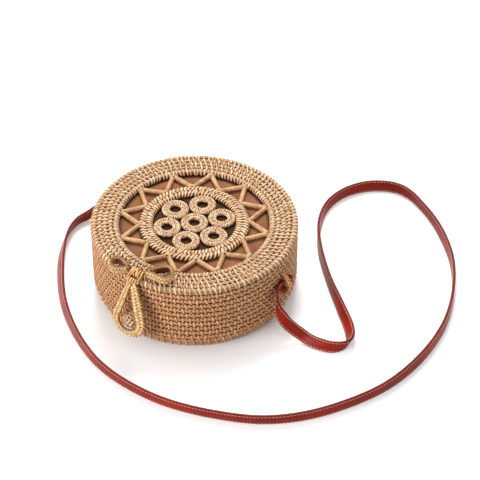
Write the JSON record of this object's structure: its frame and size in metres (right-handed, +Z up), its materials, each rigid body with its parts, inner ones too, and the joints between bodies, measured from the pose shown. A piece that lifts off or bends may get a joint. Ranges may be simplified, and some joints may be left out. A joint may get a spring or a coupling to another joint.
{
  "type": "woven round handbag",
  "caption": "Round woven cane bag with a coiled side, an open-work lid on cane ring hinges, a knob and loop clasp and a long flat leather strap between two arched lugs.",
  "frame": {"origin": "middle of the flat underside of the drum, which stands on the ground", "axes": "+Z up; the clasp faces -Y, the ring hinges are at +Y, the strap's lugs are at -X and +X"},
  "size_m": [0.3932, 0.3878, 0.0835],
  "materials": {
    "rattan": "satin woven",
    "pale_rattan": "satin woven",
    "cane": "satin",
    "straw": "satin plaited",
    "plait": "satin plaited",
    "lining": "matt cloth",
    "leather": "glossy"
  },
  "bodies": {
    "drum": {"base_floor": "rattan", "base_wall": "rattan", "base_lining_floor": "lining", "base_lining_wall": "lining", "knob": "straw", "knob_cord": "cane", "hinge_ring_left": "cane", "hinge_ring_right": "cane", "strap_lug_left": "cane", "strap_lug_right": "cane", "strap_end_left": "leather", "strap_end_right": "leather", "strap": "leather"},
    "lid": {"lid_wall": "rattan", "lid_ring": "pale_rattan", "inner_ring": "rattan", "star_point_1": "pale_rattan", "star_point_2": "pale_rattan", "star_point_3": "pale_rattan", "star_point_4": "pale_rattan", "star_point_5": "pale_rattan", "star_point_6": "pale_rattan", "star_point_7": "pale_rattan", "star_point_8": "pale_rattan", "star_point_9": "pale_rattan", "star_point_10": "pale_rattan", "star_point_11": "pale_rattan", "star_point_12": "pale_rattan", "rosette_centre": "rattan", "rosette_disc_1": "rattan", "rosette_disc_2": "rattan", "rosette_disc_3": "rattan", "rosette_disc_4": "rattan", "rosette_disc_5": "rattan", "rosette_disc_6": "rattan", "lid_lining_top": "lining", "lid_lining_wall": "lining", "bow_knot": "plait", "bow_loop_left": "plait", "bow_loop_right": "plait", "clasp_pin": "plait"},
    "loop": {"clasp_loop": "plait"}
  },
  "joints": [
    {"name": "lid_open", "type": "hinge", "parent": "drum", "child": "lid", "pos_m": [0, 0.1, 0.05815], "axis": [-1, 0, 0], "range_deg": [0, 110]},
    {"name": "clasp_swing", "type": "hinge", "parent": "lid", "child": "loop", "pos_m": [0, -0.1022, 0.076], "axis": [-1, 0, 0], "range_deg": [-12, 100]}
  ]
}
